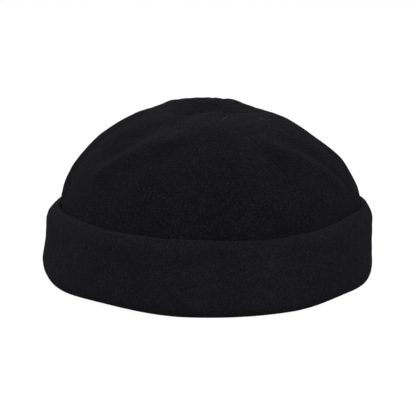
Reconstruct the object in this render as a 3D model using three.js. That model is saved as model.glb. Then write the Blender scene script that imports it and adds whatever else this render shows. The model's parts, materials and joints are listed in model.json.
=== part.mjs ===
// A knitted cap with a broad turned-up cuff: six sewn crown gores and one doubled band that is turned up round them.
// Millimetres, +Z up. The wearer faces -Y and the wearer's left is +X. The origin is the middle of the face it rests on.
import * as THREE from 'three';

// The crown's outside, at its widest. Below that level its wall tucks in towards the sewn edge.
const crownWidth = 184;
const crownDepth = 187;
const widestHeight = 44;
const domeHeight = 67.5;
const crownTuckIn = 5;
// How square the dome's side view is: 2 is an ellipse, less is leaner at the shoulders.
const domeFullness = 1.8;
const knitWall = 2.4;
const seamGap = 0.3;

// The gores, round from the front towards the wearer's left. Each stands proud between its seams and dips along them.
const gorePlaces = ['front', 'front_left', 'back_left', 'back', 'back_right', 'front_right'];
const goreBulge = 1.2;
const seamDip = 0.45;
const seamSoftness = 6;
// Where the cloth is pulled round, as turns of the seams in degrees towards the wearer's left. Each pull is strongest
// at its bearing and at its down, a share of the way from the crown's top to its widest level.
const gorePulls = [
  { bearing: -20, spread: 60, down: 0.3, depth: 0.6, turn: -7 },
  { bearing: 24, spread: 34, down: 0.36, depth: 0.2, turn: -9 },
];
// The seams' thick meeting draws the crown's top down, a little behind the middle.
const topHollowDepth = 8.5;
const topHollowRadius = 20;
const topLeanBack = 3;
const tipRadius = 1.6;

// The band: a tube knitted double, sewn under the crown and turned up at its lower edge.
const cuffHeight = 46;
const cuffThickness = 5.4;
const cuffTurnRadius = 6.5;
const cuffRimGap = 1.4;
// The folded rim is a soft roll, thicker than the band and rounder on its outside.
const cuffRimThickness = 6.4;
const cuffRimRounding = 9.5;
const bandSwelling = 0.4;
const cuffLegHeight = 4;
// The weight of the hat flattens the turn where it rests.
const restFlatWidth = 8;

// Soft folds of the crown, as lines on its top seen flat. Bearings are in degrees from the front towards the
// wearer's left, and downs and widths are shares of the way from the crown's top to its widest level.
// The lift is a share of the knit's wall, out of the dome where it is above zero.
const crownFolds = [
  { name: 'back crest', bearing: 140, down: 0.225, toBearing: 218, toDown: 0.225, width: 0.09, lift: 0.62 },
  { name: 'back left seam crest', bearing: 147, down: 0.16, toBearing: 147, toDown: 0.26, width: 0.06, lift: 0.5 },
  { name: 'back right seam crest', bearing: 213, down: 0.16, toBearing: 213, toDown: 0.26, width: 0.06, lift: 0.5 },
  { name: 'right top hollow', bearing: -48, down: 0.19, toBearing: -112, toDown: 0.22, width: 0.09, lift: -1.6 },
  { name: 'left top hollow', bearing: 36, down: 0.2, toBearing: 95, toDown: 0.22, width: 0.09, lift: -1.6 },
  { name: 'back left hollow', bearing: 105, down: 0.26, toBearing: 135, toDown: 0.32, width: 0.1, lift: -0.6 },
  { name: 'right crease', bearing: -34, down: 0.28, toBearing: -66, toDown: 0.68, width: 0.065, lift: 0.85 },
  { name: 'right hollow', bearing: -60, down: 0.26, toBearing: -78, toDown: 0.52, width: 0.085, lift: -0.9 },
  { name: 'right fullness', bearing: -98, down: 0.35, toBearing: -100, toDown: 0.75, width: 0.14, lift: 0.5 },
  { name: 'left crease', bearing: 50, down: 0.26, toBearing: 80, toDown: 0.8, width: 0.06, lift: 1 },
  { name: 'left hollow', bearing: 76, down: 0.34, toBearing: 92, toDown: 0.6, width: 0.075, lift: -0.9 },
  { name: 'left fullness', bearing: 70, down: 0.92, toBearing: 100, toDown: 0.92, width: 0.11, lift: 1.1 },
  { name: 'back left slack', bearing: 118, down: 0.45, toBearing: 128, toDown: 0.65, width: 0.11, lift: -0.8 },
];

// Slow waves of the cuff, each with the spread of its bearing in degrees. The low and the high move the cuff out
// above its turn and at its rim, and the roll thickens its rim, all three as shares of the cuff's thickness. The up
// is a share of its height, and the off is how far its lower fold lifts off the rest face, a share of the turn's
// radius. The fold lifts only in the middle of a wave, and lies flat where the wave is weaker.
const liftsAbove = 0.15;
const cuffWaves = [
  { bearing: 81, spread: 40, low: 0.2, high: 0.28, roll: 0.04, up: 0.05, off: 0 },
  { bearing: 54, spread: 14, low: 0, high: 0, roll: 0, up: 0.04, off: 0 },
  { bearing: -92, spread: 36, low: 0.36, high: -0.14, roll: 0.1, up: 0.038, off: 0 },
  { bearing: -66, spread: 20, low: 0, high: 0, roll: 0, up: 0.03, off: 0 },
  { bearing: 171, spread: 42, low: -0.1, high: -0.1, roll: 0, up: -0.04, off: 0 },
  { bearing: -50, spread: 22, low: 0, high: 0, roll: 0, up: 0, off: 0.42 },
  { bearing: 46, spread: 17, low: 0, high: 0, roll: 0, up: 0, off: 0.4 },
  { bearing: 16, spread: 26, low: 0, high: 0, roll: 0, up: -0.03, off: 0 },
];

// How finely the soft surfaces are faceted.
const goreColumns = 10;
const wallRows = 3;
const domeRows = 18;
const cuffSides = 84;
const turnSteps = 3;
const bandSteps = 4;
const rimSteps = 4;

const rightAngle = Math.PI / 2;
const halfGore = Math.PI / gorePlaces.length;
const radians = THREE.MathUtils.degToRad;
const meanRadius = (crownWidth + crownDepth) / 4;
const turnOutside = cuffTurnRadius + cuffThickness / 2;
const turnHeight = Math.sqrt(turnOutside ** 2 - (restFlatWidth / 2) ** 2);
const sewnEdgeHeight = turnHeight + cuffLegHeight;
const domeArc = rightAngle * Math.sqrt((meanRadius ** 2 + domeHeight ** 2) / 2);

// A bump of height 1 that falls away smoothly with distance.
const swell = (distance, width) => Math.exp(-((distance / width) ** 2));

// The short way round between two bearings.
const turnBetween = (a, b) => Math.atan2(Math.sin(a - b), Math.cos(a - b));

// A place on the crown's top, seen flat.
const onTop = (bearing, down) => new THREE.Vector2(down * Math.sin(bearing), -down * Math.cos(bearing));

function foldLift(bearing, down) {
  const here = onTop(bearing, down);
  let lift = 0;
  for (const fold of crownFolds) {
    const from = onTop(radians(fold.bearing), fold.down);
    const along = onTop(radians(fold.toBearing), fold.toDown).sub(from);
    const away = here.clone().sub(from);
    const share = THREE.MathUtils.clamp(away.dot(along) / along.lengthSq(), 0, 1);
    lift += fold.lift * knitWall * swell(away.addScaledVector(along, -share).length(), fold.width);
  }
  return lift;
}

// Where a gore's meridian really runs, once the cloth is pulled round.
function twisted(bearing, down) {
  let turned = bearing;
  for (const pull of gorePulls) {
    const near = swell(turnBetween(bearing, radians(pull.bearing)), radians(pull.spread));
    turned += radians(pull.turn) * near * swell(down - pull.down, pull.depth);
  }
  return turned;
}

// A point of the crown, on the gore that spans the bearing before the cloth is pulled round. The rise is an angle up the dome, from 0 at its widest level to a right angle at the top, and
// a rise below 0 is the straight wall under it. The inset is measured in from the knit's outside.
function crownPoint(goreBearing, rise, inset) {
  const dome = Math.max(rise, 0);
  const down = 1 - dome / rightAngle;
  const bearing = twisted(goreBearing, down);
  const reach = Math.cos(dome) ** (2 / domeFullness);
  const lift = Math.sin(dome) ** (2 / domeFullness);
  const under = Math.max(-rise, 0) / rightAngle;
  const tuckIn = crownTuckIn * Math.min((under * widestHeight) / (widestHeight - sewnEdgeHeight), 1);
  const point = new THREE.Vector3(
    (crownWidth / 2 - tuckIn) * reach * Math.sin(bearing),
    -(crownDepth / 2 - tuckIn) * reach * Math.cos(bearing),
    widestHeight * (1 - under) + domeHeight * lift,
  );

  const outward = new THREE.Vector3(Math.sin(bearing) / crownWidth, -Math.cos(bearing) / crownDepth, 0)
    .normalize().multiplyScalar(reach ** (domeFullness - 1) / meanRadius);
  outward.z = lift ** (domeFullness - 1) / domeHeight;
  outward.normalize();

  const middle = Math.round(goreBearing / (2 * halfGore)) * 2 * halfGore;
  const fromMiddle = turnBetween(goreBearing, middle) / halfGore;
  const fromSeam = (1 - Math.abs(fromMiddle)) * halfGore * meanRadius * reach;
  const bulge = goreBulge * Math.sin(Math.PI * down ** 0.7) * Math.cos(rightAngle * fromMiddle);
  const dip = seamDip * swell(fromSeam, seamSoftness);
  point.addScaledVector(outward, bulge - dip + foldLift(bearing, down) - inset);

  const height = 1 - down;
  point.y += topLeanBack * height ** 2;
  point.z -= topHollowDepth * swell(down * domeArc, topHollowRadius);
  return point;
}

// Turns rings of points into one closed body. Each ring is a closed loop, and goes anticlockwise round the body's
// inside as seen from the ring after it.
function closedBody(rings, closesRound) {
  const size = rings[0].length;
  const positions = rings.flat().flatMap((p) => [p.x, p.y, p.z]);
  const faces = [];
  const last = closesRound ? rings.length : rings.length - 1;
  for (let i = 0; i < last; i++) {
    for (let j = 0; j < size; j++) {
      const a = i * size + j;
      const b = i * size + ((j + 1) % size);
      const c = ((i + 1) % rings.length) * size + ((j + 1) % size);
      const d = ((i + 1) % rings.length) * size + j;
      faces.push(a, b, c, a, c, d);
    }
  }
  return { positions, faces };
}

function meshOf(name, { positions, faces }, material) {
  const geometry = new THREE.BufferGeometry();
  geometry.setAttribute('position', new THREE.Float32BufferAttribute(positions, 3));
  geometry.setIndex(faces);
  geometry.computeVertexNormals();
  const mesh = new THREE.Mesh(geometry, material);
  mesh.name = name;
  return mesh;
}

// One gore: a leaf of knit from the sewn edge inside the cuff up to its narrow tip at the crown's top. Each row is a
// loop that runs along the outside and back along the inside.
function gore(middle) {
  const tipRise = rightAngle * (1 - tipRadius / domeArc);
  const lowestRise = -rightAngle * (1 - (sewnEdgeHeight + seamGap) / widestHeight);
  const rises = [];
  for (let i = 0; i < wallRows; i++) rises.push(lowestRise * (1 - i / wallRows));
  for (let i = 0; i <= domeRows; i++) rises.push((tipRise * i) / domeRows);

  const rings = rises.map((rise) => {
    const ringRadius = meanRadius * Math.cos(Math.max(rise, 0)) ** (2 / domeFullness);
    const half = halfGore - seamGap / 2 / ringRadius;
    const bearings = [];
    for (let j = 0; j <= goreColumns; j++) {
      bearings.push(middle + half * Math.sin(rightAngle * ((2 * j) / goreColumns - 1)));
    }
    const outside = bearings.map((bearing) => crownPoint(bearing, rise, 0));
    const inside = bearings.map((bearing) => crownPoint(bearing, rise, knitWall)).reverse();
    return [...outside, ...inside];
  });

  const body = closedBody(rings, false);
  const size = rings[0].length;
  const top = (rings.length - 1) * size;
  for (let j = 0; j < goreColumns; j++) {
    const [a, b, c, d] = [j, j + 1, size - 2 - j, size - 1 - j];
    body.faces.push(a, c, b, a, d, c);
    body.faces.push(top + a, top + b, top + c, top + a, top + c, top + d);
  }
  return body;
}

// The cuff's section: the outside of the doubled knit from the sewn leg round the turn and up to the rim's crest, and
// its inside back again. Each point is a distance out from the crown's sewn edge and a height over the rest face, and
// its proud is 1 on the outside and 0 on the inside.
function cuffSection() {
  const leg = -knitWall / 2;
  const flatAngle = Math.asin(restFlatWidth / 2 / turnOutside);
  const angles = [];
  for (let i = 0; i <= turnSteps; i++) angles.push(Math.PI + ((rightAngle - flatAngle) * i) / turnSteps);
  for (let i = turnSteps; i >= 0; i--) angles.push(2 * Math.PI - ((rightAngle - flatAngle) * i) / turnSteps);

  const face = (way) => {
    const reach = cuffTurnRadius + (way * cuffThickness) / 2;
    const bend = angles.map((angle) => ({
      out: leg + cuffTurnRadius + reach * Math.cos(angle),
      up: Math.max(turnHeight + reach * Math.sin(angle), 0),
      proud: (1 + way) / 2,
    }));
    return [{ out: leg - (way * knitWall) / 2, up: sewnEdgeHeight, proud: 0 }, ...bend];
  };
  const outside = face(1);
  const inside = face(-1);
  const bandOutside = outside.at(-1).out;
  const bandInside = inside.at(-1).out;
  const rimInside = crownTuckIn + cuffRimGap;
  const crest = rimInside + 0.4 * cuffRimThickness;
  const shoulder = rimInside + cuffRimThickness;
  for (let i = 1; i <= bandSteps; i++) {
    const share = i / bandSteps;
    outside.push({
      out: THREE.MathUtils.lerp(bandOutside, shoulder, share) + bandSwelling * Math.sin(Math.PI * share) ** 2,
      up: THREE.MathUtils.lerp(turnHeight, cuffHeight - cuffRimRounding, share),
      proud: 1,
    });
    inside.push({
      out: THREE.MathUtils.lerp(bandInside, rimInside, share),
      up: THREE.MathUtils.lerp(turnHeight, cuffHeight - cuffThickness / 2, share),
      proud: 0,
    });
  }
  for (let i = 1; i <= rimSteps; i++) {
    const angle = (rightAngle * i) / rimSteps;
    outside.push({
      out: crest + (shoulder - crest) * Math.cos(angle),
      up: cuffHeight - cuffRimRounding * (1 - Math.sin(angle)),
      proud: (1 + Math.cos(angle)) / 2,
    });
  }
  inside.push({
    out: rimInside + (crest - rimInside) * (1 - Math.cos(rightAngle / 2)),
    up: cuffHeight - (cuffThickness / 2) * (1 - Math.sin(rightAngle / 2)),
    proud: (1 - Math.cos(rightAngle / 2)) / 2,
  });
  return [...outside, ...inside.reverse()].reverse();
}

function cuff() {
  const section = cuffSection();
  const rings = [];
  for (let i = 0; i < cuffSides; i++) {
    const bearing = (2 * Math.PI * i) / cuffSides;
    const waves = cuffWaves.map((wave) => ({
      ...wave,
      strength: swell(turnBetween(bearing, radians(wave.bearing)), radians(wave.spread)),
    }));
    rings.push(section.map(({ out, up, proud }) => {
      const share = up / cuffHeight;
      let [waveOut, waveUp, waveOff] = [0, 0, 0];
      for (const { low, high, roll, up: rise, off, strength } of waves) {
        const moved = low * swell(share - 0.25, 0.28) + high * share ** 2 + roll * proud * swell(share - 0.82, 0.22);
        waveOut += moved * cuffThickness * strength;
        waveUp += rise * strength;
        waveOff += off * cuffTurnRadius * Math.max(strength - liftsAbove, 0);
      }
      const looseness = Math.min(Math.max(out, 0) / cuffTurnRadius, 1) * Math.min(up / sewnEdgeHeight, 1);
      const reach = out + waveOut * looseness;
      return new THREE.Vector3(
        (crownWidth / 2 - crownTuckIn + reach) * Math.sin(bearing),
        -(crownDepth / 2 - crownTuckIn + reach) * Math.cos(bearing),
        up * (1 + waveUp * looseness) + waveOff * swell(up, cuffTurnRadius),
      );
    }));
  }
  return closedBody(rings, true);
}

const crownKnit = new THREE.MeshStandardMaterial({ color: '#17171a', roughness: 0.95, metalness: 0 });
const cuffKnit = new THREE.MeshStandardMaterial({ color: '#1d1d20', roughness: 0.92, metalness: 0 });

const beanie = new THREE.Group();
gorePlaces.forEach((place, i) => {
  beanie.add(meshOf(`crown_panel_${place}`, gore(2 * halfGore * i), crownKnit));
});
beanie.add(meshOf('turned_cuff', cuff(), cuffKnit));

// The origin is the middle of the whole cap's underside.
const extent = new THREE.Box3().setFromObject(beanie);
const middleOfExtent = extent.getCenter(new THREE.Vector3());
beanie.position.set(-middleOfExtent.x, -middleOfExtent.y, -extent.min.z);

export default beanie;
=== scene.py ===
import json
import math

import bmesh
import bpy
import numpy as np
from mathutils import Matrix, Vector

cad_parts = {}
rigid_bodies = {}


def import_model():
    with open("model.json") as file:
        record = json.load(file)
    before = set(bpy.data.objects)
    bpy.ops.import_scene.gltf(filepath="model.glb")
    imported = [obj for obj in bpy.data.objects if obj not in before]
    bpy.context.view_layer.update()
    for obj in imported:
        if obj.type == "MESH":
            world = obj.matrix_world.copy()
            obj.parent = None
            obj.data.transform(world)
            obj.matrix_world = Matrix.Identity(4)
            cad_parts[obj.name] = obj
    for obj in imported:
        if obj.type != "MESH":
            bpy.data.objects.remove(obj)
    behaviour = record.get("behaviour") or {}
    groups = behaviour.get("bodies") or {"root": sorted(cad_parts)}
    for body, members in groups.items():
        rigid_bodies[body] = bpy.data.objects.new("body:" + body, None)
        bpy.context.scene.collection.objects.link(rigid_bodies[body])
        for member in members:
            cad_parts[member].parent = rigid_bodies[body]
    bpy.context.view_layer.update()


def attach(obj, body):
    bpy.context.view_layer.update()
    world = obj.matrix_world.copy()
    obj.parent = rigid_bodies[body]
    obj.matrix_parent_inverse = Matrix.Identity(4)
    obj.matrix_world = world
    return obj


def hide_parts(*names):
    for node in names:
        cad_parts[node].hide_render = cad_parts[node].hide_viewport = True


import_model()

# The crown's gores: six leaves cut from a fine plain-knit wool cloth, milled until its face is half felted,
# and sewn edge to edge. Every seam draws a valley, the cloth puffs a little between its stitches, and slack
# cloth lies in a few soft creases that run down from the top.
mm = 0.001
crown_width = 184 * mm
crown_depth = 187 * mm
widest_height = 44 * mm
dome_height = 67.5 * mm
crown_tuck_in = 5 * mm
dome_fullness = 1.8
knit_wall = 2.4 * mm
gore_places = ["front", "front_left", "back_left", "back", "back_right", "front_right"]
half_gore = math.pi / len(gore_places)
gore_bulge = 1.2 * mm
seam_dip = 0.45 * mm
seam_softness = 6 * mm
top_hollow_depth = 12.5 * mm
top_hollow_radius = 19 * mm
top_lean_back = 3 * mm
mean_radius = (crown_width + crown_depth) / 4
right_angle = math.pi / 2
dome_arc = right_angle * math.sqrt((mean_radius ** 2 + dome_height ** 2) / 2)

cuff_thickness = 5.4 * mm
cuff_turn_radius = 6.5 * mm
cuff_leg_height = 4 * mm
rest_flat_width = 8 * mm
turn_outside = cuff_turn_radius + cuff_thickness / 2
turn_height = math.sqrt(turn_outside ** 2 - (rest_flat_width / 2) ** 2)
sewn_edge_height = turn_height + cuff_leg_height

# Bearings are in degrees from the front towards the wearer's left. Downs and widths are shares of the way
# from the crown's top to its widest level, and lifts are shares of the knit's wall.
gore_pulls = [
    dict(bearing=-20, spread=60, down=0.3, depth=0.6, turn=-7),
    dict(bearing=24, spread=34, down=0.36, depth=0.2, turn=-9),
]
crown_folds = {
    "back crest": dict(bearing=146, down=0.215, to_bearing=212, to_down=0.215, width=0.085, lift=0.8),
    "back left seam crest": dict(bearing=147, down=0.16, to_bearing=147, to_down=0.26, width=0.06, lift=0.5),
    "back right seam crest": dict(bearing=213, down=0.16, to_bearing=213, to_down=0.26, width=0.06, lift=0.5),
    "front crest": dict(bearing=-44, down=0.225, to_bearing=38, to_down=0.22, width=0.06, lift=0.62),
    "front left seam crest": dict(bearing=14, down=0.2, to_bearing=34, to_down=0.21, width=0.05, lift=0.5),
    "right top hollow": dict(bearing=-48, down=0.19, to_bearing=-112, to_down=0.22, width=0.09, lift=-1.4),
    "left top hollow": dict(bearing=36, down=0.2, to_bearing=95, to_down=0.22, width=0.09, lift=-1.4),
    "back left hollow": dict(bearing=105, down=0.26, to_bearing=135, to_down=0.32, width=0.1, lift=-0.6),
    "right crease": dict(bearing=-28, down=0.425, to_bearing=-62, to_down=0.68, width=0.05, lift=0.95),
    "right hollow": dict(bearing=-49, down=0.333, to_bearing=-64, to_down=0.546, width=0.06, lift=-1.1),
    "right fullness": dict(bearing=-98, down=0.35, to_bearing=-100, to_down=0.75, width=0.14, lift=0.5),
    "left crease": dict(bearing=31, down=0.515, to_bearing=56, to_down=0.8, width=0.045, lift=0.8),
    "left hollow": dict(bearing=40, down=0.48, to_bearing=60, to_down=0.7, width=0.045, lift=-0.65),
    "left shoulder": dict(bearing=84, down=0.71, to_bearing=90, to_down=0.73, width=0.11, lift=0.85),
    "left fullness": dict(bearing=70, down=0.92, to_bearing=100, to_down=0.92, width=0.11, lift=1.1),
    "back left slack": dict(bearing=118, down=0.45, to_bearing=128, to_down=0.65, width=0.11, lift=-0.8),
}


def swell(distance, width):
    """A bump of height 1 that falls away smoothly with distance."""
    return np.exp(-((distance / width) ** 2))


def turn_between(a, b):
    return np.arctan2(np.sin(a - b), np.cos(a - b))


def on_top(bearing, down):
    return np.stack([down * np.sin(bearing), -down * np.cos(bearing)], -1)


def fold_lift(bearing, down):
    here = on_top(bearing, down)
    lift = np.zeros(np.shape(down))
    for fold in crown_folds.values():
        start = on_top(math.radians(fold["bearing"]), fold["down"])
        along = on_top(math.radians(fold["to_bearing"]), fold["to_down"]) - start
        share = np.clip((here - start) @ along / (along @ along), 0, 1)
        away = np.linalg.norm(here - start - share[..., None] * along, axis=-1)
        lift = lift + fold["lift"] * knit_wall * swell(away, fold["width"])
    return lift


def drift(points, length, phase):
    """A slow unevenness between about -1 and 1, which repeats no shape within the cap."""
    x, y, z = (points[..., i] * (2 * math.pi / length) for i in range(3))
    return (np.sin(x + 1.7 * np.sin(0.63 * y + phase) + phase)
            * np.sin(1.13 * y + 1.3 * np.sin(0.71 * z - phase))
            + 0.6 * np.sin(1.9 * z + 0.8 * x + 2.1 * phase) * np.cos(1.6 * y - 0.7 * z)) / 1.6


def twisted(bearing, down):
    """Where a gore's meridian really runs: the crown's front was pulled round a little to the right."""
    turned = bearing
    for pull in gore_pulls:
        near = swell(turn_between(bearing, math.radians(pull["bearing"])), math.radians(pull["spread"]))
        turned = turned + math.radians(pull["turn"]) * near * swell(down - pull["down"], pull["depth"])
    return turned


def crown_point(gore_bearing, rise, inset):
    """A point of the crown's wall and its outward direction. A rise below 0 is under the widest level."""
    dome = np.maximum(rise, 0)
    down = 1 - dome / right_angle
    bearing = twisted(gore_bearing, down)
    reach = np.cos(dome) ** (2 / dome_fullness)
    lift = np.sin(dome) ** (2 / dome_fullness)
    under = np.maximum(-rise, 0) / right_angle
    tuck_in = crown_tuck_in * np.minimum(under * widest_height / (widest_height - sewn_edge_height), 1)
    point = np.stack([
        (crown_width / 2 - tuck_in) * reach * np.sin(bearing),
        -(crown_depth / 2 - tuck_in) * reach * np.cos(bearing),
        widest_height * (1 - under) + dome_height * lift,
    ], -1)
    outward = np.stack([np.sin(bearing) / crown_width, -np.cos(bearing) / crown_depth], -1)
    outward *= (reach ** (dome_fullness - 1) / mean_radius / np.linalg.norm(outward, axis=-1))[..., None]
    outward = np.concatenate([outward, (lift ** (dome_fullness - 1) / dome_height)[..., None]], -1)
    outward /= np.linalg.norm(outward, axis=-1)[..., None]

    middle = np.round(gore_bearing / (2 * half_gore)) * 2 * half_gore
    from_middle = turn_between(gore_bearing, middle) / half_gore
    from_seam = (1 - np.abs(from_middle)) * half_gore * mean_radius * reach
    bulge = gore_bulge * np.sin(math.pi * down ** 0.7) * np.cos(right_angle * from_middle)
    dip = seam_dip * swell(from_seam, seam_softness)
    point = point + outward * (bulge - dip + fold_lift(bearing, down) - inset)[..., None]
    point[..., 1] += top_lean_back * (1 - down) ** 2
    point[..., 2] -= top_hollow_depth * swell(down * dome_arc, top_hollow_radius)
    return point, outward


# What the sewing and the knitting add to the wall's plain shape.
wale_width = 1.55 * mm
wale_relief = 0.16 * mm
seam_valley = 0.2 * mm
seam_valley_width = 1 * mm
stitch_row_offset = 3.2 * mm
stitch_row_groove = 0.12 * mm
stitch_row_groove_width = 0.6 * mm
stitch_pitch = 3.3 * mm
drawn_pucker = 0.14 * mm
drawn_pucker_pitch = 2.3 * stitch_pitch
rung_pucker = 0.07 * mm
cloth_unevenness = 0.35 * mm
top_gathers = 0.24 * mm
gathers_begin = 92 * mm
gathers_full = 102 * mm


def cloth_lumps(point):
    """The uneven lie of milled cloth: broad swells with smaller ones over them."""
    return cloth_unevenness * (drift(point, 46 * mm, 0.9) + 0.45 * drift(point, 19 * mm, 2.3))


def gore_relief(point, across, from_seam, along):
    """Height of the face over the plain wall: knit ribs, seam valley, sewn grooves, puckers and lumps."""
    wales = wale_relief * (np.abs(np.cos(math.pi * across / wale_width)) - 0.6)
    valley = -seam_valley * swell(from_seam, seam_valley_width)
    groove = -stitch_row_groove * swell(from_seam - stitch_row_offset, stitch_row_groove_width)
    drawn_turn = 2 * math.pi * along / drawn_pucker_pitch + 3 * drift(point, 30 * mm, 0.4)
    rung_turn = 2 * math.pi * along / stitch_pitch + 2 * drift(point, 24 * mm, 1.7)
    drawn = drawn_pucker * np.sin(drawn_turn) * swell(from_seam - 3.5 * mm, 3 * mm)
    rungs = rung_pucker * np.sin(rung_turn) * swell(from_seam - 1.6 * mm, 1.8 * mm)
    near_top = np.clip((point[..., 2] - gathers_begin) / (gathers_full - gathers_begin), 0, 1)
    gathers = top_gathers * drift(point, 7 * mm, 1.2) * near_top
    return wales + valley + groove + drawn + rungs + cloth_lumps(point) + gathers


def strip_faces(rows, columns, closes=False, first=0):
    """The four-cornered faces of a grid of points kept row by row."""
    r = np.arange(rows - 1)[:, None] * columns
    c = np.arange(columns if closes else columns - 1)[None, :]
    d = (c + 1) % columns
    return (first + np.stack([r + c, r + d, r + columns + d, r + columns + c], -1)).reshape(-1, 4)


def add_mesh(name, points, faces, uv=None):
    mesh = bpy.data.meshes.new(name)
    mesh.from_pydata(points.tolist(), [], faces.tolist())
    if uv is not None:
        layer = mesh.uv_layers.new(name="cloth_mm")
        corners = np.zeros(len(mesh.loops), np.int32)
        mesh.loops.foreach_get("vertex_index", corners)
        layer.data.foreach_set("uv", uv[corners].astype(np.float32).ravel())
    mesh.shade_smooth()
    piece = bpy.data.objects.new(name, mesh)
    bpy.context.scene.collection.objects.link(piece)
    return piece


gore_columns = 236
gore_wall_rows = 22
gore_dome_rows = 92
lining_columns = 28
lining_wall_rows = 8
lining_dome_rows = 36
seam_crowding = 0.25
tip_radius = 0.35 * mm
lowest_rise = -right_angle * (1 - sewn_edge_height / widest_height)


def gore_grid(middle, columns, rows_each, inset):
    """One face of a gore, sewn edge to tip: points, outwards, ways across and along, and half widths."""
    wall, dome = rows_each
    tip_rise = right_angle * (1 - tip_radius / dome_arc)
    wall_rises = np.linspace(lowest_rise, 0, wall, endpoint=False)
    rises = np.concatenate([wall_rises, np.linspace(0, tip_rise, dome)])
    share = np.linspace(-1, 1, columns)
    share = (1 - seam_crowding) * share + seam_crowding * np.sin(right_angle * share)
    bearing = middle + half_gore * np.broadcast_to(share, (len(rises), columns))
    rise = np.broadcast_to(rises[:, None], bearing.shape)
    point, outward = crown_point(bearing, rise, inset)
    ring_radius = mean_radius * np.cos(np.maximum(rise, 0)) ** (2 / dome_fullness)
    across = (bearing - middle) * ring_radius
    centre = point[:, columns // 2]
    along = np.concatenate([[0], np.cumsum(np.linalg.norm(np.diff(centre, axis=0), axis=1))])
    return point, outward, across, np.broadcast_to(along[:, None], across.shape), half_gore * ring_radius


# The middle of the whole cap's box, which lies at x = 0 and y = 0 in the shared frame.
frame_centre = Vector((-0.302, -0.174, 0)) * mm


def gore(place, number):
    middle = 2 * half_gore * number
    rows = gore_wall_rows + gore_dome_rows
    point, outward, across, along, half_width = gore_grid(
        middle, gore_columns, (gore_wall_rows, gore_dome_rows), 0)
    face = point + outward * gore_relief(point, across, half_width - np.abs(across), along)[..., None]
    back, _, back_across, back_along, _ = gore_grid(
        middle, lining_columns, (lining_wall_rows, lining_dome_rows), knit_wall)
    edges = []
    faces = [strip_faces(rows, gore_columns)]
    count = rows * gore_columns
    for side in (0, -1):
        turned_in = face[:, side] - outward[:, side] * knit_wall
        first = count
        edges.append(turned_in)
        r = np.arange(rows - 1)
        outer = r * gore_columns + (side % gore_columns)
        quad = np.stack([outer, outer + gore_columns, first + r + 1, first + r], -1)
        faces.append(quad if side == 0 else quad[:, ::-1])
        count += rows
    faces.append(strip_faces(lining_wall_rows + lining_dome_rows, lining_columns, first=count)[:, ::-1])
    points = np.concatenate([face.reshape(-1, 3), *edges, back.reshape(-1, 3)]) - np.array(frame_centre)
    uv = np.concatenate([
        np.stack([across, along], -1).reshape(-1, 2),
        *(np.stack([across[:, side], along[:, side]], -1) for side in (0, -1)),
        np.stack([back_across, back_along], -1).reshape(-1, 2),
    ]) / mm
    return add_mesh(f"gore_{place}", points, np.concatenate(faces), uv)


def math_node(tree, operation, *values):
    node = tree.nodes.new("ShaderNodeMath")
    node.operation = operation
    for socket, value in zip(node.inputs, values):
        if isinstance(value, bpy.types.NodeSocket):
            tree.links.new(value, socket)
        else:
            socket.default_value = value
    return node.outputs[0]


def new_group(name, inputs, outputs):
    """A shader node group with named sockets: its tree, the sockets it is given and those it makes."""
    tree = bpy.data.node_groups.new(name, "ShaderNodeTree")
    for label, kind, value in inputs:
        socket = tree.interface.new_socket(name=label, in_out="INPUT", socket_type=kind)
        if value is not None:
            socket.default_value = value
    for label, kind in outputs:
        tree.interface.new_socket(name=label, in_out="OUTPUT", socket_type=kind)
    start = tree.nodes.new("NodeGroupInput")
    end = tree.nodes.new("NodeGroupOutput")
    return tree, start.outputs, end.inputs


leg_slant = 1.3


def knit_loops_group():
    """Columns of V-shaped loops: height of the yarn, and how deep a place lies between the loops."""
    tree, given, made = new_group(
        "knit_loops",
        [("Cloth", "NodeSocketVector", None), ("Wale Width", "NodeSocketFloat", 1.55),
         ("Course Height", "NodeSocketFloat", 1.15), ("Wander", "NodeSocketFloat", 0.35)],
        [("Height", "NodeSocketFloat"), ("Shade", "NodeSocketFloat")])
    wander = tree.nodes.new("ShaderNodeTexNoise")
    wander.inputs["Scale"].default_value = 0.45
    wander.inputs["Detail"].default_value = 2
    tree.links.new(given["Cloth"], wander.inputs["Vector"])
    shifted = tree.nodes.new("ShaderNodeVectorMath")
    shifted.operation = "MULTIPLY_ADD"
    tree.links.new(wander.outputs["Color"], shifted.inputs[0])
    tree.links.new(given["Wander"], shifted.inputs[1])
    tree.links.new(given["Cloth"], shifted.inputs[2])
    parts = tree.nodes.new("ShaderNodeSeparateXYZ")
    tree.links.new(shifted.outputs[0], parts.inputs[0])
    wale = math_node(tree, "DIVIDE", parts.outputs["X"], given["Wale Width"])
    side = math_node(tree, "ABSOLUTE", math_node(tree, "SUBTRACT", math_node(tree, "FRACT", wale), 0.5))
    course = math_node(tree, "DIVIDE", parts.outputs["Y"], given["Course Height"])
    slanted = math_node(tree, "ADD", course, math_node(tree, "MULTIPLY", side, leg_slant))
    leg = math_node(tree, "ABSOLUTE", math_node(tree, "SUBTRACT", math_node(tree, "FRACT", slanted), 0.5))
    off_middle = math_node(tree, "POWER", math_node(tree, "MULTIPLY", leg, 2.0), 2.0)
    over_leg = math_node(tree, "SUBTRACT", 1.0, off_middle)
    off_leg = math_node(tree, "MULTIPLY", math_node(tree, "SUBTRACT", side, 0.25), 4.0)
    across_leg = math_node(tree, "SUBTRACT", 1.0, math_node(tree, "POWER", off_leg, 2.0))
    height = math_node(tree, "MULTIPLY", over_leg, across_leg)
    tree.links.new(height, made["Height"])
    tree.links.new(math_node(tree, "SUBTRACT", 1.0, height), made["Shade"])
    return tree


hair_height = 0.5
fleck_rarity = 6.0
fleck_smallness = 2.2


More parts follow.
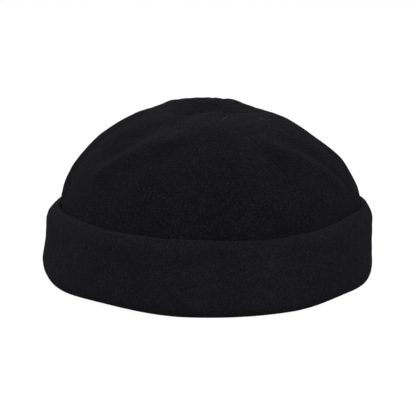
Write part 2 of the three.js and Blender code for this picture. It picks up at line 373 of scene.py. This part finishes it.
def wool_nap_group():
    """The milled face: matted fibre in clumps, finer hairs over them, and pale flecks of caught fluff."""
    tree, given, made = new_group(
        "wool_nap",
        [("Place", "NodeSocketVector", None), ("Clump Scale", "NodeSocketFloat", 900),
         ("Hair Scale", "NodeSocketFloat", 2600), ("Fleck Scale", "NodeSocketFloat", 650)],
        [("Height", "NodeSocketFloat"), ("Mottle", "NodeSocketFloat"), ("Patches", "NodeSocketFloat"),
         ("Flecks", "NodeSocketFloat")])
    clumps = tree.nodes.new("ShaderNodeTexNoise")
    clumps.inputs["Detail"].default_value = 3
    clumps.inputs["Roughness"].default_value = 0.65
    hairs = tree.nodes.new("ShaderNodeTexNoise")
    hairs.inputs["Detail"].default_value = 2
    patches = tree.nodes.new("ShaderNodeTexNoise")
    patches.inputs["Scale"].default_value = 55
    patches.inputs["Detail"].default_value = 4
    spots = tree.nodes.new("ShaderNodeTexVoronoi")
    for node in (clumps, hairs, patches, spots):
        tree.links.new(given["Place"], node.inputs["Vector"])
    tree.links.new(given["Clump Scale"], clumps.inputs["Scale"])
    tree.links.new(given["Hair Scale"], hairs.inputs["Scale"])
    tree.links.new(given["Fleck Scale"], spots.inputs["Scale"])
    fine = math_node(tree, "MULTIPLY", hairs.outputs["Fac"], hair_height)
    height = math_node(tree, "ADD", clumps.outputs["Fac"], fine)
    tree.links.new(height, made["Height"])
    tree.links.new(clumps.outputs["Fac"], made["Mottle"])
    tree.links.new(patches.outputs["Fac"], made["Patches"])
    colour = tree.nodes.new("ShaderNodeSeparateColor")
    tree.links.new(spots.outputs["Color"], colour.inputs[0])
    caught = math_node(tree, "POWER", colour.outputs[0], fleck_rarity)
    far = math_node(tree, "MULTIPLY", spots.outputs["Distance"], fleck_smallness)
    near = math_node(tree, "SUBTRACT", 1.0, far)
    flecks = math_node(tree, "MULTIPLY", caught, math_node(tree, "MAXIMUM", near, 0.0))
    tree.links.new(flecks, made["Flecks"])
    return tree


knit_loops = knit_loops_group()
wool_nap = wool_nap_group()


def add_group(tree, group, **values):
    node = tree.nodes.new("ShaderNodeGroup")
    node.node_tree = group
    for label, value in values.items():
        socket = node.inputs[label.replace("_", " ")]
        if isinstance(value, bpy.types.NodeSocket):
            tree.links.new(value, socket)
        else:
            socket.default_value = value
    return node


loop_shading = 0.35
cloudiness = 0.6
fleck_paleness = 1.5
palest_wool = 1.6


def wool_material(name, dark, light, wale, course, loop_depth, nap_depth, sheen):
    """Black milled wool knit. The depths are in metres."""
    material = bpy.data.materials.new(name)
    material.use_nodes = True
    tree = material.node_tree
    shader = tree.nodes["Principled BSDF"]
    shader.inputs["Roughness"].default_value = 0.95
    shader.inputs["Specular IOR Level"].default_value = 0.05
    shader.inputs["Sheen Weight"].default_value = sheen
    shader.inputs["Sheen Roughness"].default_value = 0.45
    shader.inputs["Sheen Tint"].default_value = (0.86, 0.89, 1.0, 1)
    cloth = tree.nodes.new("ShaderNodeUVMap")
    cloth.uv_map = "cloth_mm"
    place = tree.nodes.new("ShaderNodeTexCoord")
    loops = add_group(tree, knit_loops, Cloth=cloth.outputs["UV"], Wale_Width=wale, Course_Height=course)
    nap = add_group(tree, wool_nap, Place=place.outputs["Object"])

    mixed = tree.nodes.new("ShaderNodeMix")
    mixed.data_type = "RGBA"
    mixed.clamp_factor = False
    mixed.inputs["A"].default_value = (*dark, 1)
    mixed.inputs["B"].default_value = (*light, 1)
    spread = tree.nodes.new("ShaderNodeMapRange")
    spread.inputs["From Min"].default_value = 0.4
    spread.inputs["From Max"].default_value = 0.64
    tree.links.new(nap.outputs["Mottle"], spread.inputs["Value"])
    shade = math_node(tree, "MULTIPLY", loops.outputs["Shade"], loop_shading)
    factor = math_node(tree, "SUBTRACT", spread.outputs["Result"], shade)
    patch = math_node(tree, "SUBTRACT", nap.outputs["Patches"], 0.5)
    cloudy = math_node(tree, "MULTIPLY", patch, cloudiness)
    factor = math_node(tree, "ADD", factor, cloudy)
    pale = math_node(tree, "MULTIPLY", nap.outputs["Flecks"], fleck_paleness)
    factor = math_node(tree, "ADD", factor, pale)
    clamped = tree.nodes.new("ShaderNodeClamp")
    clamped.inputs["Max"].default_value = palest_wool
    tree.links.new(factor, clamped.inputs["Value"])
    tree.links.new(clamped.outputs[0], mixed.inputs["Factor"])
    tree.links.new(mixed.outputs["Result"], shader.inputs["Base Color"])

    weave = tree.nodes.new("ShaderNodeBump")
    weave.inputs["Distance"].default_value = loop_depth
    tree.links.new(loops.outputs["Height"], weave.inputs["Height"])
    fluff = tree.nodes.new("ShaderNodeBump")
    fluff.inputs["Distance"].default_value = nap_depth
    tree.links.new(nap.outputs["Height"], fluff.inputs["Height"])
    tree.links.new(weave.outputs["Normal"], fluff.inputs["Normal"])
    tree.links.new(fluff.outputs["Normal"], shader.inputs["Normal"])
    return material


crown_wool = wool_material("crown_wool", (0.003, 0.003, 0.0036), (0.0146, 0.0146, 0.0169),
                           wale_width / mm, 1.15, 0.35 * mm, 0.7 * mm, 0.02)
for number, place in enumerate(gore_places):
    piece = gore(place, number)
    piece.data.materials.append(crown_wool)
    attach(piece, "root")
    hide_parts(f"crown_panel_{place}")


# The topstitching: after each seam is closed, its two turned edges are stitched down, one row on each side,
# in the same black yarn as the knit. Each stitch lies on the face between two holes and presses the cloth in.
stitch_length = 2.5 * mm
stitch_radius = 0.2 * mm
stitch_sides = 6
stitch_steps = 7
stitch_arch = 0.4 * mm
stitch_sunk = (0.3, 0.5)
stitch_unevenness = 0.15
first_stitch = 1.5 * mm
row_begins = 0.9 * lowest_rise
row_ends = 0.955 * right_angle
row_samples = 400


def thread_tube(path, radius, outward):
    """A round thread along a path, with pointed ends: points and faces."""
    tangent = np.gradient(path, axis=0)
    tangent /= np.linalg.norm(tangent, axis=1)[:, None]
    across = np.cross(tangent, outward)
    across /= np.linalg.norm(across, axis=1)[:, None]
    up = np.cross(across, tangent)
    turn = np.linspace(0, 2 * math.pi, stitch_sides, endpoint=False)
    swelling = np.sqrt(np.clip(1 - np.linspace(-0.97, 0.97, len(path)) ** 4, 0, 1))
    ring = (np.cos(turn)[None, :, None] * across[:, None] + np.sin(turn)[None, :, None] * up[:, None])
    points = path[:, None] + ring * (radius * swelling)[:, None, None]
    return points.reshape(-1, 3), strip_faces(len(path), stitch_sides, closes=True)


def seam_row(seam_bearing, side):
    """The middle of one row of topstitching, as places evenly along it: bearings and rises."""
    rise = np.linspace(row_begins, row_ends, row_samples)
    ring_radius = mean_radius * np.cos(np.maximum(rise, 0)) ** (2 / dome_fullness)
    bearing = seam_bearing + side * stitch_row_offset / ring_radius
    point, _ = crown_point(bearing, rise, 0)
    length = np.concatenate([[0], np.cumsum(np.linalg.norm(np.diff(point, axis=0), axis=1))])
    return bearing, rise, length


stitch_points, stitch_faces, count = [], [], 0
stitch_chance = np.random.default_rng(11)
for number in range(len(gore_places)):
    for side in (-1, 1):
        bearing, rise, length = seam_row((2 * number + 1) * half_gore, side)
        for start in np.arange(first_stitch, length[-1] - stitch_length, stitch_pitch):
            start += stitch_chance.uniform(-stitch_unevenness, stitch_unevenness) * mm
            at = np.linspace(start, start + stitch_length, stitch_steps)
            place, outward = crown_point(np.interp(at, length, bearing), np.interp(at, length, rise), 0)
            sunk = stitch_chance.uniform(*stitch_sunk) * mm
            arch = np.sin(np.linspace(0, math.pi, stitch_steps)) ** 0.6 * stitch_arch - sunk
            path = place + outward * (cloth_lumps(place) + arch)[:, None]
            points, faces = thread_tube(path, stitch_radius, outward)
            stitch_points.append(points)
            stitch_faces.append(faces + count)
            count += len(points)
stitches = add_mesh("topstitching", np.concatenate(stitch_points) - np.array(frame_centre),
                    np.concatenate(stitch_faces))


def fibre_material(name, dark, light, clump_scale, roughness, specular, sheen):
    """The fibre of a small piece, mottled by the same nap as the cloth."""
    material = bpy.data.materials.new(name)
    material.use_nodes = True
    tree = material.node_tree
    shader = tree.nodes["Principled BSDF"]
    shader.inputs["Roughness"].default_value = roughness
    shader.inputs["Specular IOR Level"].default_value = specular
    shader.inputs["Sheen Weight"].default_value = sheen
    nap = add_group(tree, wool_nap, Clump_Scale=clump_scale)
    place = tree.nodes.new("ShaderNodeTexCoord")
    tree.links.new(place.outputs["Object"], nap.inputs["Place"])
    mixed = tree.nodes.new("ShaderNodeMix")
    mixed.data_type = "RGBA"
    mixed.inputs["A"].default_value = (*dark, 1)
    mixed.inputs["B"].default_value = (*light, 1)
    tree.links.new(nap.outputs["Mottle"], mixed.inputs["Factor"])
    tree.links.new(mixed.outputs["Result"], shader.inputs["Base Color"])
    return material


stitches.data.materials.append(fibre_material(
    "stitching_yarn", (0.004, 0.004, 0.0043), (0.01, 0.01, 0.0107), 1800, 0.95, 0.06, 0.02))
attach(stitches, "root")


# The turned-up cuff: a tube knitted double in fine upright ribs of the same wool, sewn to the crown's lower
# edge and turned up over the sewing. Its upper edge is the fold between its two layers, soft and wavy.
cuff_height = 45.4 * mm
cuff_rim_gap = -0.1 * mm
cuff_rim_thickness = 7.9 * mm
cuff_rim_rounding = 9.5 * mm
cuff_rim_inner_rounding = 1.5 * mm
cuff_crest_place = 0.2
cuff_turn_rows = 17
cuff_band_rows = 17
cuff_rim_rows = 11
outer_hidden_rows = 4
inner_seen_rows = 8
hidden_columns = 360
rib_count = 412
rib_relief = 0.34 * mm
rib_columns = 4
band_swelling = 0.4 * mm
band_unevenness = 0.42 * mm
band_fine_unevenness = 0.22 * mm
lifts_above = 0.15
cuff_waves = [
    dict(bearing=81, spread=40, low=0.07, high=0.32, roll=0.12, up=0.05, off=0),
    dict(bearing=54, spread=14, low=0, high=0, roll=0, up=0.04, off=0),
    dict(bearing=-92, spread=36, low=0.4, high=-0.12, roll=0.24, up=0.038, off=0),
    dict(bearing=-66, spread=20, low=0.12, high=0, roll=0, up=0.03, off=0),
    dict(bearing=171, spread=42, low=-0.1, high=-0.1, roll=0, up=-0.04, off=0),
    dict(bearing=-50, spread=22, low=0, high=0, roll=0, up=0, off=0.42),
    dict(bearing=46, spread=17, low=0, high=0, roll=0, up=0, off=0.4),
    dict(bearing=16, spread=26, low=0, high=0, roll=0, up=-0.03, off=0),
]


def cuff_section(turn_steps, band_steps, rim_steps):
    """The doubled cloth in section: its outside, from the sewn leg round the turn to the rim, and its inside.

    Each point is a distance out from the sewn edge, a height, and how much it belongs to the outside."""
    leg = -knit_wall / 2
    turn = np.linspace(math.pi, 2 * math.pi, turn_steps)
    faces = []
    for way in (1, -1):
        reach = cuff_turn_radius + way * cuff_thickness / 2
        start = [[leg - way * knit_wall / 2, sewn_edge_height, 0]]
        bend = [[leg + cuff_turn_radius + reach * math.cos(angle),
                 max(turn_height + reach * math.sin(angle), 0), (1 + way) / 2] for angle in turn]
        faces.append(start + bend)
    outside, inside = faces
    rim_inside = crown_tuck_in + cuff_rim_gap
    crest = rim_inside + cuff_crest_place * cuff_rim_thickness
    shoulder = rim_inside + cuff_rim_thickness
    for share in np.linspace(0, 1, band_steps + 1)[1:]:
        swelling = band_swelling * math.sin(math.pi * share) ** 2
        outside.append([outside[turn_steps][0] * (1 - share) + shoulder * share + swelling,
                        turn_height * (1 - share) + (cuff_height - cuff_rim_rounding) * share, 1])
        inside.append([inside[turn_steps][0] * (1 - share) + rim_inside * share,
                       turn_height * (1 - share) + (cuff_height - cuff_rim_inner_rounding) * share, 0])
    for angle in np.linspace(0, right_angle, rim_steps + 1)[1:]:
        outside.append([crest + (shoulder - crest) * math.cos(angle),
                        cuff_height - cuff_rim_rounding * (1 - math.sin(angle)), 0.5 + 0.5 * math.cos(angle)])
    for angle in np.linspace(0, right_angle, rim_steps // 2 + 1)[1:-1]:
        inside.append([rim_inside + (crest - rim_inside) * (1 - math.cos(angle)),
                       cuff_height - cuff_rim_inner_rounding * (1 - math.sin(angle)),
                       0.5 - 0.5 * math.cos(angle)])
    return np.array(outside), np.array(inside)


def cuff_surface(section, columns, ribs):
    """Sweeps a stretch of the section round the cap, ribbed where ribs is 1 and smooth where it is 0."""
    bearing = np.linspace(0, 2 * math.pi, columns, endpoint=False)[None, :]
    out, up = (np.broadcast_to(section[:, i][:, None], (len(section), columns)) for i in (0, 1))
    proud = section[:, 2][:, None]
    wave_out = wave_up = wave_off = 0
    for wave in cuff_waves:
        strength = swell(turn_between(bearing, math.radians(wave["bearing"])), math.radians(wave["spread"]))
        share = wave["low"] * swell(up / cuff_height - 0.25, 0.28) + wave["high"] * (up / cuff_height) ** 2
        share = share + wave["roll"] * proud * swell(up / cuff_height - 0.82, 0.22)
        wave_out = wave_out + share * cuff_thickness * strength
        wave_up = wave_up + wave["up"] * strength
        wave_off = wave_off + wave["off"] * cuff_turn_radius * np.maximum(strength - lifts_above, 0)
    loose = np.clip(out / cuff_turn_radius, 0, 1) * np.clip(up / sewn_edge_height, 0, 1)
    reach = out + wave_out * loose
    height = up * (1 + wave_up * loose) + wave_off * swell(up, cuff_turn_radius)

    facing = np.gradient(section[:, :2], axis=0)
    facing /= np.linalg.norm(facing, axis=1)[:, None]
    normal_out, normal_up = facing[:, 1][:, None], -facing[:, 0][:, None]
    plain = np.stack([(crown_width / 2 - crown_tuck_in + reach) * np.sin(bearing),
                      -(crown_depth / 2 - crown_tuck_in + reach) * np.cos(bearing), height], -1)
    lean = 0.35 * drift(plain, 60 * mm, 1.9) + 0.12 * drift(plain, 17 * mm, 0.2)
    rib = np.abs(np.cos(math.pi * (bearing * rib_count / (2 * math.pi) + lean)))
    relief = rib_relief * (rib ** 0.8 - 0.62) * ribs
    settled = np.clip(up / (3 * mm), 0, 1)
    relief = relief * np.clip(height / (0.6 * mm), 0, 1)
    broad = band_unevenness * drift(plain, 52 * mm, 1.4)
    fine = band_fine_unevenness * drift(plain, 18 * mm, 0.7)
    relief = relief + loose * settled * (broad + fine)
    reach = reach + relief * normal_out
    height = np.maximum(height + relief * normal_up, 0)
    points = np.stack([(crown_width / 2 - crown_tuck_in + reach) * np.sin(bearing),
                       -(crown_depth / 2 - crown_tuck_in + reach) * np.cos(bearing), height], -1)
    length = np.concatenate([[0], np.cumsum(np.linalg.norm(np.diff(section[:, :2], axis=0), axis=1))])
    across = bearing * mean_radius + lean * wale_width
    uv = np.stack([np.broadcast_to(across, out.shape), np.broadcast_to(length[:, None], out.shape)], -1)
    return points, uv / mm


def turned_cuff():
    outer, inner = cuff_section(cuff_turn_rows, cuff_band_rows, cuff_rim_rows)
    seen = np.concatenate([outer[outer_hidden_rows:], inner[:-inner_seen_rows - 1:-1]])
    hidden = np.concatenate([inner[-inner_seen_rows::-1], outer[:outer_hidden_rows + 1]])
    seen_points, seen_uv = cuff_surface(seen, rib_count * rib_columns, 1)
    hidden_points, hidden_uv = cuff_surface(hidden, hidden_columns, 0)
    count = seen_points.shape[0] * seen_points.shape[1]
    faces = np.concatenate([
        strip_faces(*seen_points.shape[:2], closes=True),
        strip_faces(*hidden_points.shape[:2], closes=True, first=count),
    ])
    points = np.concatenate([seen_points.reshape(-1, 3), hidden_points.reshape(-1, 3)])
    uv = np.concatenate([seen_uv.reshape(-1, 2), hidden_uv.reshape(-1, 2)])
    return add_mesh("turned_up_cuff", points - np.array(frame_centre), faces, uv)


cuff = turned_cuff()
cuff_wool = wool_material("cuff_wool", (0.006, 0.006, 0.007), (0.0155, 0.0155, 0.018),
                          wale_width / mm, 1.25, 0.22 * mm, 0.45 * mm, 0.02)
cuff.data.materials.append(cuff_wool)
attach(cuff, "root")
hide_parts("turned_cuff")


# The fluff: pale lint that dark wool picks up in use, a few matted specks pressed into the nap and one stray
# thread near the top. Crown specks have a bearing and a share of the way down, cuff specks a height.
lint_specks = [
    dict(bearing=-34, down=0.275, size=0.85 * mm, tone=0.05),
    dict(bearing=50.5, down=0.315, size=0.62 * mm, tone=0.11),
    dict(bearing=-2.3, down=0.342, size=0.5 * mm, tone=0.035),
    dict(bearing=3.2, down=0.669, size=0.48 * mm, tone=0.09),
    dict(bearing=-31.3, down=0.745, size=0.6 * mm, tone=0.05),
    dict(bearing=-27, down=0.755, size=0.45 * mm, tone=0.045),
    dict(bearing=-29, down=0.8, size=0.5 * mm, tone=0.035),
    dict(bearing=-10.8, down=0.852, size=0.4 * mm, tone=0.03),
    dict(bearing=19.5, down=0.68, size=0.4 * mm, tone=0.05),
    dict(bearing=25.8, height=35.3 * mm, size=0.5 * mm, tone=0.22),
    dict(bearing=-3.6, height=4.2 * mm, size=0.5 * mm, tone=0.04),
    dict(bearing=-44, height=33 * mm, size=0.4 * mm, tone=0.045),
]
thread_start = dict(bearing=13.8, down=0.301)
thread_end = dict(bearing=27.5, down=0.215)
thread_steps = 14
thread_smoothing = 3
thread_lift = 0.12 * mm
thread_radius = 0.16 * mm
tuft_length = (1.1, 1.6)
tuft_raggedness = (0.75, 1.2)
tuft_flatness = 0.55
fluff_dark = np.array((0.7, 0.7, 0.72))
fluff_light = np.array((1.3, 1.3, 1.33))
cuff_flare = 0.06
clear_of_cloth = 4 * mm
facing_out = 0.3
cloth_pieces = [piece for piece in bpy.context.scene.objects
                if piece.name.startswith(("gore_", "turned_up_cuff"))]


def cloth_points():
    """Where the finished cloth's surface is: all its points and the way each faces."""
    points, facing = [], []
    for piece in cloth_pieces:
        count = len(piece.data.vertices)
        place = np.zeros(count * 3, np.float32)
        way = np.zeros(count * 3, np.float32)
        piece.data.vertices.foreach_get("co", place)
        piece.data.vertex_normals.foreach_get("vector", way)
        points.append(place.reshape(-1, 3))
        facing.append(way.reshape(-1, 3))
    return np.concatenate(points), np.concatenate(facing)


cloth, cloth_facing = cloth_points()


def on_cloth(bearing, down=None, height=None):
    """The point of the cloth's outside nearest to a place given as for the specks, and its facing."""
    turn = np.array(math.radians(bearing))
    if height is None:
        near, outward = crown_point(turn, np.array(right_angle * (1 - down)), -1 * mm)
    else:
        reach = 1 + cuff_flare * (1 - (height / cuff_height) ** 2)
        outward = np.array([math.sin(turn), -math.cos(turn), 0])
        half_sizes = np.array([crown_width, crown_depth, 0]) / 2
        near = outward * (half_sizes * reach + clear_of_cloth) + np.array([0, 0, height])
    near = near - np.array(frame_centre)
    outside = cloth_facing @ outward > facing_out
    closest = np.argmin(np.where(outside, np.linalg.norm(cloth - near, axis=1), np.inf))
    return Vector(cloth[closest].tolist()), Vector(cloth_facing[closest].tolist())


lint_chance = np.random.default_rng(5)
for number, speck in enumerate(lint_specks):
    place, facing = on_cloth(speck["bearing"], speck.get("down"), speck.get("height"))
    tuft = bmesh.new()
    bmesh.ops.create_icosphere(tuft, subdivisions=2, radius=speck["size"] / 2)
    lengthwise = lint_chance.uniform(*tuft_length)
    for point in tuft.verts:
        point.co *= lint_chance.uniform(*tuft_raggedness)
        point.co.x *= lengthwise
        point.co.z *= tuft_flatness
    spin = Matrix.Rotation(lint_chance.uniform(0, math.pi), 4, "Z")
    tuft.transform(Matrix.Translation(place) @ facing.to_track_quat("Z", "Y").to_matrix().to_4x4() @ spin)
    mesh = bpy.data.meshes.new(f"lint_{number}")
    tuft.to_mesh(mesh)
    tuft.free()
    mesh.shade_smooth()
    lint = bpy.data.objects.new(f"lint_{number}", mesh)
    bpy.context.scene.collection.objects.link(lint)
    mesh.materials.append(fibre_material(
        f"lint_fluff_{number}", speck["tone"] * fluff_dark, speck["tone"] * fluff_light, 2400, 1, 0.1, 0))
    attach(lint, "root")

thread_path, thread_up = [], []
for share in np.linspace(0, 1, thread_steps):
    place, facing = on_cloth(thread_start["bearing"] * (1 - share) + thread_end["bearing"] * share,
                             thread_start["down"] * (1 - share) + thread_end["down"] * share)
    thread_path.append(np.array(place + facing * thread_lift * (1 + 2 * math.sin(math.pi * share))))
    thread_up.append(np.array(facing))
thread_path = np.array(thread_path)
for _ in range(thread_smoothing):
    thread_path[1:-1] = (thread_path[:-2] + thread_path[1:-1] + thread_path[2:]) / 3
stray_points, stray_faces = thread_tube(thread_path, thread_radius, np.mean(thread_up, axis=0))
stray = add_mesh("stray_thread", stray_points, stray_faces)
stray.data.materials.append(bpy.data.materials["lint_fluff_0"])
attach(stray, "root")


# The floor: a seamless white sweep that the cap stands on. It looks paper white, as if lit by lamps of its
# own, and throws hardly any light back at the cap.
floor_mesh = bpy.data.meshes.new("floor")
floor_size = 14
floor_mesh.from_pydata([(x * floor_size, y * floor_size, 0) for x, y in ((-1, -1), (1, -1), (1, 1), (-1, 1))],
                       [], [(0, 1, 2, 3)])
floor = bpy.data.objects.new("floor", floor_mesh)
bpy.context.scene.collection.objects.link(floor)
floor_paint = bpy.data.materials.new("floor_white")
floor_paint.use_nodes = True
floor_shader = floor_paint.node_tree.nodes["Principled BSDF"]
floor_shader.inputs["Base Color"].default_value = (0.1, 0.1, 0.1, 1)
floor_shader.inputs["Roughness"].default_value = 0.9
floor_shader.inputs["Specular IOR Level"].default_value = 0.1
floor_shader.inputs["Emission Strength"].default_value = 0.95
seen_floor = floor_paint.node_tree.nodes.new("ShaderNodeLightPath")
floor_glow = floor_paint.node_tree.nodes.new("ShaderNodeMix")
floor_glow.data_type = "RGBA"
floor_glow.inputs["A"].default_value = (0.17, 0.17, 0.17, 1)
floor_glow.inputs["B"].default_value = (1, 1, 1, 1)
floor_paint.node_tree.links.new(seen_floor.outputs["Is Camera Ray"], floor_glow.inputs["Factor"])
floor_paint.node_tree.links.new(floor_glow.outputs["Result"], floor_shader.inputs["Emission Color"])
floor.data.materials.append(floor_paint)


# The light: large soft lamps round the cap in a white room, the strongest in front of it to each side. The
# room looks white and adds only a trace of light.
world = bpy.data.worlds.new("white_room")
world.use_nodes = True
room = world.node_tree.nodes["Background"]
seen_room = world.node_tree.nodes.new("ShaderNodeLightPath")
room_glow = world.node_tree.nodes.new("ShaderNodeMix")
room_glow.data_type = "RGBA"
room_glow.inputs["A"].default_value = (0.03, 0.03, 0.03, 1)
room_glow.inputs["B"].default_value = (1, 1, 1, 1)
world.node_tree.links.new(seen_room.outputs["Is Camera Ray"], room_glow.inputs["Factor"])
world.node_tree.links.new(room_glow.outputs["Result"], room.inputs["Color"])
bpy.context.scene.world = world


lamp_size = 1.0


def soft_lamp(name, place, power):
    lamp = bpy.data.lights.new(name, "AREA")
    lamp.shape = "DISK"
    lamp.size = lamp_size
    lamp.energy = power
    holder = bpy.data.objects.new(name, lamp)
    holder.location = place
    holder.rotation_euler = (Vector((0, 0, 0.05)) - Vector(place)).to_track_quat("-Z", "Y").to_euler()
    bpy.context.scene.collection.objects.link(holder)


soft_lamp("lamp_front_left", (-1.1, -1.1, 0.7), 18)
soft_lamp("lamp_front_right", (1.1, -1.1, 0.7), 17)
soft_lamp("lamp_front", (0.0, -1.4, 1.0), 6)
soft_lamp("lamp_behind", (0.0, 1.3, 1.1), 9)
soft_lamp("lamp_behind_left", (-1.2, 0.8, 0.9), 9)
soft_lamp("lamp_behind_right", (1.3, 0.65, 0.8), 6)


# The camera stands a little above the cap and a little to the wearer's right, a metre away, with a long lens.
camera_bearing = math.radians(-9)
camera_rise = math.radians(12.36)
camera_distance = 1.1
pixels_across = 416
pixels_per_metre = 1604
camera_data = bpy.data.cameras.new("camera")
camera_data.sensor_width = 36
camera_data.lens = camera_data.sensor_width * pixels_per_metre * camera_distance / pixels_across
camera_data.clip_end = 60
camera = bpy.data.objects.new("camera", camera_data)
aim = Vector((-0.07, 0.44, 43.3)) * mm
towards = Vector((math.sin(camera_bearing) * math.cos(camera_rise),
                  -math.cos(camera_bearing) * math.cos(camera_rise), math.sin(camera_rise)))
camera.location = aim + camera_distance * towards
camera.rotation_euler = (-towards).to_track_quat("-Z", "Y").to_euler()
bpy.context.scene.collection.objects.link(camera)
bpy.context.scene.camera = camera
bpy.context.scene.view_settings.view_transform = "Standard"
